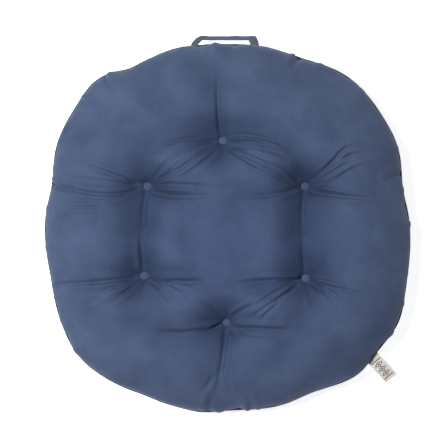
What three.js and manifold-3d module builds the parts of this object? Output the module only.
// A button-tufted round floor cushion with a self-fabric carry strap and a woven side label.
//
// Two cloth panels are sewn together round their edge (a knife edge, with no border strip) and
// stuffed with loose polyester fibre. Six tufts on a hexagon pull the two faces together: each is
// a covered button on the seat face and another on the base face, tied by a loop of twine that
// runs through the fill. The strap's two ends and the label's root are caught in the edge seam.
//
// Units are millimetres, +Z is up, and the origin is on the floor under the cushion's middle.
// The carry strap is on the +Y side.
import * as THREE from "three";
import { LoftGeometry } from "three/addons/geometries/LoftGeometry.js";
import { mergeVertices } from "three/addons/utils/BufferGeometryUtils.js";
import Module from "manifold-3d";

const { Vector2, Vector3 } = THREE;
const wasm = await Module();
wasm.setup();

// ---- Driving dimensions ----

const WIDTH = 550; // across the flats of the stuffed outline
const OUTLINE_POWER = 2.4; // superellipse power: 2 is a circle, more is squarer
const HEIGHT = 120; // floor to the crown of the seat
const SEAM_HEIGHT = 52; // the edge seam above the floor
const CLOTH = 1.2; // a cover panel's thickness
const GAP = 0.3; // between pieces that touch
const SEAM_ALLOWANCE = 12; // how far the cut edges turn in behind the seam

const TUFT_RADIUS = 135; // the hexagon of buttons
const TUFT_CENTRE = new Vector2(-2, -7);
// How far each hand-set button sits from its corner of the hexagon, clockwise from the strap.
const TUFT_DRIFT = [
  [-4, 0],
  [1, 0],
  [2, -2],
  [1, 1],
  [-4, 2],
  [1, 0],
];
const SEAT_TUFT_HEIGHT = 78; // the cloth under a seat button
const BASE_TUFT_HEIGHT = 18; // the cloth over a base button

const BUTTON_RADIUS = 7.5;
const BUTTON_HEIGHT = 5.4;
const BUTTON_CLOTH = 0.6;
const BUTTON_SHELL = 0.4;
const BUTTON_RIM = 1.4; // the straight part of its side, under the dome
const BUTTON_LIP = 1.3; // how far the cloth turns in under it
const BUTTON_PLATE = 1; // thickness of its back plate
const SHANK_RADIUS = 2.6; // the wire eye on the button's back
const SHANK_WIRE = 0.6;
const TWINE_RADIUS = 0.8;
const TWINE_BEND = 2.0;

const STRAP_WIDTH = 14;
const STRAP_THICKNESS = 2.4; // four layers of cover cloth, stitched
const STRAP_ENDS = [-49.5, 40]; // the middle of each sewn end, along X
const STRAP_LEAN = [12, -4]; // how far each leg leans along X on its way to the grip
const STRAP_REACH = 28; // from the hinge to the grip's outer edge, along the cloth
const STRAP_ROOT_DROOP = 50; // degrees below level where the strap leaves the seam
const STRAP_TIP_DROOP = 85; // degrees below level at the grip's outer edge
const STRAP_HINGE_Y = 274.8; // the line in the cloth about which the strap swings

const LABEL_WIDTH = 21;
const LABEL_LENGTH = 41; // from the hinge to the fold at its tip
const LABEL_STANDOFF = 2.2; // its hinge line stands this far outside the seam
const LABEL_TAPE = 0.5; // one layer of the folded tape
const LABEL_FOLD = 1.6; // over both layers
const LABEL_PLACE = -42; // degrees round the outline from +X
const LABEL_TURN = -48; // the way it points, in degrees from +X
const LABEL_DROOP = 8; // degrees below level

// ---- Values worked out from them ----

const HALF = WIDTH / 2;
const CROWN = HEIGHT - SEAM_HEIGHT;
const CROWN_POWER = 2.8; // how full the seat's shoulder is
const BASE_SAG = 60; // depth of the base's curve if it were not pressed flat on the floor
const BASE_POWER = 5;
const OUTLINE_STEPS = 40;
const CROWN_STEPS = 6;
const CROWN_POLE = 85; // degrees up the crown's curve, where a small flat cap closes it
const FUNNEL_STEPS = 4;
const BUTTON_STEPS = 10;
const SEAT_FUNNEL = { floor: 9.5, depth: 42, spread: 18, reach: 74 };
const BASE_FUNNEL = { floor: 9.5, depth: 22, spread: 14, reach: 56 };
const SHANK_HOLE = SHANK_RADIUS + SHANK_WIRE + 1;
const EYE_CENTRE = 0.6 - SHANK_RADIUS; // the wire eye's height in a button's own frame
const CHANNEL = SHANK_HOLE + 0.4; // the twine's way through the fill
const FLANGE_TOP = SEAM_HEIGHT + GAP / 2 + CLOTH;
const FLANGE_BASE = SEAM_HEIGHT - GAP / 2 - CLOTH;

const radians = THREE.MathUtils.degToRad;
const sin = (degrees) => Math.sin(radians(degrees));
const cos = (degrees) => Math.cos(radians(degrees));

const TUFTS = TUFT_DRIFT.map(([dx, dy], i) => {
  const angle = 90 - 60 * i;
  return new Vector2(TUFT_RADIUS * cos(angle) + dx, TUFT_RADIUS * sin(angle) + dy).add(TUFT_CENTRE);
});

// ---- Materials ----

const finish = (color, roughness, metalness = 0) =>
  new THREE.MeshStandardMaterial({ color, roughness, metalness });
const coverCloth = finish(0x48567a, 0.85);
const strapCloth = finish(0x525f7d, 0.85);
const fibre = finish(0xf1efe8, 1);
const twineCord = finish(0xd9d3c4, 0.9);
const buttonMetal = finish(0xb9bcc0, 0.35, 1);
const labelCloth = finish(0xd8cfc8, 0.9);

// ---- Solids ----

// A three.js geometry as a manifold-3d solid.
function solid(geometry) {
  const bare = new THREE.BufferGeometry();
  const flat = geometry.index ? geometry.toNonIndexed() : geometry;
  bare.setAttribute("position", flat.getAttribute("position"));
  const merged = mergeVertices(bare, 1e-4);
  const index = merged.index.array;
  const kept = [];
  for (let i = 0; i < index.length; i += 3) {
    const [a, b, c] = index.slice(i, i + 3);
    if (a !== b && b !== c && c !== a) kept.push(a, b, c);
  }
  const vertProperties = merged.attributes.position.array;
  return new wasm.Manifold(new wasm.Mesh({ numProp: 3, vertProperties, triVerts: new Uint32Array(kept) }));
}

// A manifold-3d solid as a three.js geometry.
function geometryOf(made) {
  const mesh = made.getMesh();
  const geometry = new THREE.BufferGeometry();
  geometry.setAttribute("position", new THREE.BufferAttribute(mesh.vertProperties, 3));
  geometry.setIndex(new THREE.BufferAttribute(mesh.triVerts, 1));
  return geometry.toNonIndexed();
}

const joined = (solids) => solids.reduce((whole, next) => whole.add(next));

// A profile of [radius, height] pairs turned about the Z axis.
function turned(profile, steps) {
  const points = profile.map(([radius, height]) => new Vector2(radius, height));
  return new THREE.LatheGeometry(points, steps).rotateX(Math.PI / 2);
}

function box(size, centre) {
  return solid(new THREE.BoxGeometry(...size).translate(...centre));
}

// ---- The stuffed outline and its two faces ----

// Radius of the outline in a direction: a superellipse, pulled in by inset.
function outlineRadius(angle, inset = 0) {
  const power = OUTLINE_POWER;
  const sum = Math.abs(Math.cos(angle)) ** power + Math.abs(Math.sin(angle)) ** power;
  return HALF / sum ** (1 / power) - inset;
}

// One level ring of the outline, scaled by share, at a height.
function ring(share, height, inset) {
  return Array.from({ length: OUTLINE_STEPS }, (_, i) => {
    const angle = (2 * Math.PI * i) / OUTLINE_STEPS;
    const radius = outlineRadius(angle, inset) * share;
    return new Vector3(radius * Math.cos(angle), radius * Math.sin(angle), height);
  });
}

// The seat half: a crowned dome over the seam, pulled in by inset.
function seatDome(inset) {
  const sections = [];
  for (let i = 0; i <= CROWN_STEPS; i++) {
    const angle = (CROWN_POLE * i) / CROWN_STEPS;
    const share = cos(angle) ** (2 / CROWN_POWER);
    const rise = ((CROWN - inset) * sin(angle)) / sin(CROWN_POLE);
    sections.push(ring(share, SEAM_HEIGHT + rise, inset));
  }
  return solid(new LoftGeometry(sections, { capStart: true, capEnd: true }));
}

// The base half: it curves in under the seam and lies flat where it meets the floor.
function baseBowl(inset) {
  const sections = [];
  const flat = Math.asin((SEAM_HEIGHT - inset) / (BASE_SAG - inset)) * (180 / Math.PI);
  for (let i = 0; i <= CROWN_STEPS; i++) {
    const angle = flat * (1 - i / CROWN_STEPS);
    const share = cos(angle) ** (2 / BASE_POWER);
    sections.push(ring(share, SEAM_HEIGHT - (BASE_SAG - inset) * sin(angle), inset));
  }
  return solid(new LoftGeometry(sections, { capStart: true, capEnd: true }));
}

// The dimple that a tuft pulls into a face, as a cutter: flat under the button, then flaring out.
function funnel({ floor, depth, spread, reach }, inset) {
  const profile = [[0, -inset]];
  for (let i = 0; i <= FUNNEL_STEPS; i++) {
    const out = (reach - floor) * (i / FUNNEL_STEPS) ** 1.5;
    profile.push([floor + out + inset, depth * (1 - Math.exp(-out / spread)) - inset]);
  }
  profile.push([reach + inset, depth + 20], [0, depth + 20]);
  return solid(turned(profile, BUTTON_STEPS));
}

const atTufts = (cutter, height) =>
  joined(TUFTS.map(({ x, y }) => cutter.translate([x, y, height])));

// The seat half above a height, with its dimples, pulled in by inset.
function seatHalf(inset, from) {
  const dimples = atTufts(funnel(SEAT_FUNNEL, inset), SEAT_TUFT_HEIGHT);
  const below = box([2 * WIDTH, 2 * WIDTH, HEIGHT], [0, 0, from - HEIGHT / 2]);
  return seatDome(inset).subtract(dimples).subtract(below);
}

// The base half below a height, with its dimples, pulled in by inset.
function baseHalf(inset, upTo) {
  const dimples = atTufts(funnel(BASE_FUNNEL, inset).rotate([180, 0, 0]), BASE_TUFT_HEIGHT);
  const above = box([2 * WIDTH, 2 * WIDTH, HEIGHT], [0, 0, upTo + HEIGHT / 2]);
  return baseBowl(inset).subtract(dimples).subtract(above);
}

// The room between the seam allowances, from one height to another.
function neck(inset, from, to) {
  const sections = [ring(1, from, inset), ring(1, to, inset)];
  return solid(new LoftGeometry(sections, { capStart: true, capEnd: true }));
}

// ---- Cover and fill ----

// A way through for the twine at each tuft.
function drilled(body, radius) {
  const drill = new THREE.CylinderGeometry(radius, radius, 2 * HEIGHT, BUTTON_STEPS);
  return body.subtract(atTufts(solid(drill.rotateX(Math.PI / 2)), SEAM_HEIGHT));
}

// Slots in the seam for the strap's ends and the label's root.
function seamSlots() {
  const strap = STRAP_ENDS.map((x) =>
    box(
      [STRAP_WIDTH + 2 * GAP, 2 * SEAM_ALLOWANCE + 20, STRAP_THICKNESS + 2 * GAP],
      [x, STRAP_HINGE_Y, SEAM_HEIGHT],
    ),
  );
  const label = box([2 * SEAM_ALLOWANCE + 20, LABEL_WIDTH + 2 * GAP, LABEL_FOLD + 2 * GAP], [0, 0, 0])
    .rotate([0, 0, LABEL_TURN])
    .translate([LABEL_ROOT.x, LABEL_ROOT.y, SEAM_HEIGHT]);
  return joined([...strap, label]);
}

function topPanel() {
  const edge = SEAM_HEIGHT + GAP / 2;
  const inside = seatHalf(CLOTH, FLANGE_TOP).add(neck(SEAM_ALLOWANCE, edge - 1, FLANGE_TOP + 1));
  const whole = seatHalf(0, edge).subtract(inside);
  return drilled(whole.subtract(seamSlots()), SHANK_HOLE);
}

function bottomPanel() {
  const edge = SEAM_HEIGHT - GAP / 2;
  const inside = baseHalf(CLOTH, FLANGE_BASE).add(neck(SEAM_ALLOWANCE, FLANGE_BASE - 1, edge + 1));
  const whole = baseHalf(0, edge).subtract(inside);
  return drilled(whole.subtract(seamSlots()), SHANK_HOLE);
}

function fibreFill() {
  const inset = CLOTH + GAP;
  const seat = seatHalf(inset, FLANGE_TOP + GAP);
  const base = baseHalf(inset, FLANGE_BASE - GAP);
  const middle = neck(SEAM_ALLOWANCE + GAP, FLANGE_BASE - 1, FLANGE_TOP + 1);
  return drilled(joined([seat, middle, base]), CHANNEL);
}

// ---- Tufts: covered buttons and twine. A button's own frame has +Z out of the cushion and
// z = 0 on the cloth that it presses on. ----

// Points of a low dome, from its top on the axis down to its rim.
function dome(radius, height, rim) {
  const steps = 3;
  return Array.from({ length: steps + 1 }, (_, i) => {
    const angle = 90 - (90 * i) / steps;
    return [radius * cos(angle), rim + (height - rim) * sin(angle)];
  });
}

// The disc of cover cloth, wrapped over the shell and turned in under its rim.
function buttonCloth() {
  const inner = BUTTON_RADIUS - BUTTON_CLOTH;
  const lip = BUTTON_RADIUS - BUTTON_LIP;
  const outside = dome(BUTTON_RADIUS, BUTTON_HEIGHT, BUTTON_RIM);
  const turnedIn = [
    [BUTTON_RADIUS - BUTTON_CLOTH / 2, GAP],
    [lip, GAP],
    [lip, GAP + BUTTON_CLOTH],
    [inner, GAP + BUTTON_CLOTH],
  ];
  const inside = dome(inner, BUTTON_HEIGHT - BUTTON_CLOTH, BUTTON_RIM).reverse();
  return turned([...outside, ...turnedIn, ...inside].reverse(), BUTTON_STEPS);
}

// The stamped metal shell that gives the button its dome.
function buttonShell() {
  const outer = BUTTON_RADIUS - BUTTON_CLOTH - GAP;
  const inner = outer - BUTTON_SHELL;
  const rim = GAP + BUTTON_CLOTH + GAP;
  const top = BUTTON_HEIGHT - BUTTON_CLOTH - GAP;
  const outside = [...dome(outer, top, BUTTON_RIM + GAP), [outer, rim]];
  const inside = [[inner, rim], ...dome(inner, top - BUTTON_SHELL, BUTTON_RIM + GAP).reverse()];
  return turned([...outside, ...inside].reverse(), BUTTON_STEPS);
}

// The back plate, pressed into the shell, with the wire eye that the twine goes through.
function buttonBack() {
  const radius = BUTTON_RADIUS - BUTTON_LIP - GAP;
  const plate = new THREE.CylinderGeometry(radius, radius, BUTTON_PLATE, BUTTON_STEPS).rotateX(Math.PI / 2);
  const eye = new THREE.TorusGeometry(SHANK_RADIUS, SHANK_WIRE, 5, 10).rotateY(Math.PI / 2);
  eye.translate(0, 0, EYE_CENTRE);
  return geometryOf(solid(plate.translate(0, 0, GAP + BUTTON_PLATE / 2)).add(solid(eye)));
}

// A loop of twine through both eyes, knotted beside the lower one: a torus whose two halves
// stand apart, so that its sides run straight.
function twine() {
  const bend = EYE_CENTRE - SHANK_RADIUS - GAP;
  const top = SEAT_TUFT_HEIGHT + bend;
  const foot = BASE_TUFT_HEIGHT - bend;
  const loop = new THREE.TorusGeometry(TWINE_BEND, TWINE_RADIUS, 5, 12).rotateX(Math.PI / 2);
  const place = loop.getAttribute("position");
  for (let i = 0; i < place.count; i++) {
    const z = place.getZ(i);
    place.setZ(i, z + (z > 1e-6 ? top : foot));
  }
  const knot = new THREE.IcosahedronGeometry(2 * TWINE_RADIUS, 0).translate(TWINE_BEND, 0, foot + 4);
  return geometryOf(solid(loop).add(solid(knot)));
}

// ---- Carry strap ----

// A point of the drooping strap: along is X, out is the distance from the hinge along the cloth,
// and lift is off the cloth's middle. The droop turns steadily from the root to the tip.
function onStrap(along, out, lift) {
  const turn = radians(STRAP_TIP_DROOP - STRAP_ROOT_DROOP) / STRAP_REACH;
  const root = radians(STRAP_ROOT_DROOP);
  const droop = root + turn * out;
  const y = (Math.sin(droop) - Math.sin(root)) / turn + lift * Math.sin(droop);
  const z = (Math.cos(droop) - Math.cos(root)) / turn + lift * Math.cos(droop);
  return new Vector3(along, y, z);
}

// The strap runs up one leg, across the grip and down the other leg, with a folded corner between
// them. Each corner of that path is a pair of points, on the inner and the outer edge.
function strapCorners() {
  const grip = STRAP_REACH - STRAP_WIDTH;
  const half = STRAP_WIDTH / 2;
  const [left, right] = STRAP_ENDS;
  const [leftLean, rightLean] = STRAP_LEAN;
  return [
    [new Vector2(left + half, 1), new Vector2(left - half, 1)],
    [new Vector2(left + half + leftLean / 2, grip), new Vector2(left - half + leftLean, STRAP_REACH)],
    [new Vector2(right - half + rightLean / 2, grip), new Vector2(right + half + rightLean, STRAP_REACH)],
    [new Vector2(right - half, 1), new Vector2(right + half, 1)],
  ];
}

function carryStrap() {
  const steps = 5;
  const half = STRAP_THICKNESS / 2;
  const corners = strapCorners();
  const sections = [];
  for (let i = 0; i <= 3 * steps; i++) {
    const leg = Math.min(Math.floor(i / steps), 2);
    const share = i / steps - leg;
    const inner = corners[leg][0].clone().lerp(corners[leg + 1][0], share);
    const outer = corners[leg][1].clone().lerp(corners[leg + 1][1], share);
    const middle = inner.clone().lerp(outer, 0.5);
    sections.push([
      onStrap(inner.x, inner.y, -half),
      onStrap(middle.x, middle.y, -half),
      onStrap(outer.x, outer.y, -half),
      onStrap(outer.x, outer.y, half),
      onStrap(middle.x, middle.y, half),
      onStrap(inner.x, inner.y, half),
    ]);
  }
  return new LoftGeometry(sections, { capStart: true, capEnd: true });
}

// A sewn-in end of the strap: it lies between the seam allowances and stops short of the hinge.
function strapRoot() {
  const length = SEAM_ALLOWANCE - GAP;
  return new THREE.BoxGeometry(STRAP_WIDTH, length, STRAP_THICKNESS).translate(0, -length / 2 - 1, 0);
}

// ---- Label ----

const LABEL_ANGLE = radians(LABEL_PLACE);
const LABEL_ROOT = new Vector2(Math.cos(LABEL_ANGLE), Math.sin(LABEL_ANGLE)).multiplyScalar(
  outlineRadius(LABEL_ANGLE) + LABEL_STANDOFF,
);

// The label's own frame has +X along the label and its hinge on the Y axis.
// The loose part: a tape folded back on itself, with a round fold at the tip.
function labelFlap() {
  const outer = LABEL_FOLD / 2;
  const inner = outer - LABEL_TAPE;
  const bend = LABEL_LENGTH - outer;
  const tape = new THREE.Shape();
  tape.moveTo(1, -outer);
  tape.lineTo(bend, -outer);
  tape.absarc(bend, 0, outer, -Math.PI / 2, Math.PI / 2, false);
  tape.lineTo(1, outer);
  tape.lineTo(1, inner);
  tape.lineTo(bend, inner);
  tape.absarc(bend, 0, inner, Math.PI / 2, -Math.PI / 2, true);
  tape.lineTo(1, -inner);
  tape.closePath();
  const flat = new THREE.ExtrudeGeometry(tape, { depth: LABEL_WIDTH, bevelEnabled: false, curveSegments: 4 });
  return flat.rotateX(Math.PI / 2).translate(0, LABEL_WIDTH / 2, 0);
}

// The root that is caught in the seam.
function labelRoot() {
  const length = SEAM_ALLOWANCE - 2 * GAP - 1;
  return new THREE.BoxGeometry(length, LABEL_WIDTH, LABEL_FOLD).translate(-length / 2 - 1, 0, 0);
}

// ---- Assembly ----

const cushion = new THREE.Group();

function place(parent, name, geometry, material) {
  const mesh = new THREE.Mesh(geometry, material);
  mesh.name = name;
  parent.add(mesh);
  return mesh;
}

place(cushion, "top_panel", geometryOf(topPanel()), coverCloth);
place(cushion, "bottom_panel", geometryOf(bottomPanel()), coverCloth);
place(cushion, "fibre_fill", geometryOf(fibreFill()), fibre);

// A covered button's three pieces, in the button's own frame.
function addButton(face, number, tuft, height, turn) {
  const button = new THREE.Group();
  button.position.set(tuft.x, tuft.y, height);
  button.rotation.x = turn;
  place(button, `${face}_button_cloth_${number}`, buttonCloth(), coverCloth);
  place(button, `${face}_button_shell_${number}`, buttonShell(), buttonMetal);
  place(button, `${face}_button_back_${number}`, buttonBack(), buttonMetal);
  cushion.add(button);
}

TUFTS.forEach((tuft, i) => {
  addButton("seat", i + 1, tuft, SEAT_TUFT_HEIGHT, 0);
  addButton("base", i + 1, tuft, BASE_TUFT_HEIGHT, Math.PI);
  place(cushion, `tuft_twine_${i + 1}`, twine(), twineCord).position.set(tuft.x, tuft.y, 0);
});

const strap = place(cushion, "carry_strap", carryStrap(), strapCloth);
strap.position.set(0, STRAP_HINGE_Y, SEAM_HEIGHT);
["left", "right"].forEach((side, i) => {
  const root = place(cushion, `strap_root_${side}`, strapRoot(), strapCloth);
  root.position.set(STRAP_ENDS[i], STRAP_HINGE_Y, SEAM_HEIGHT);
});

const label = new THREE.Group();
label.position.set(LABEL_ROOT.x, LABEL_ROOT.y, SEAM_HEIGHT);
label.rotation.z = radians(LABEL_TURN);
place(label, "label_flap", labelFlap(), labelCloth).rotation.y = radians(LABEL_DROOP);
place(label, "label_root", labelRoot(), labelCloth);
cushion.add(label);

export default cushion;
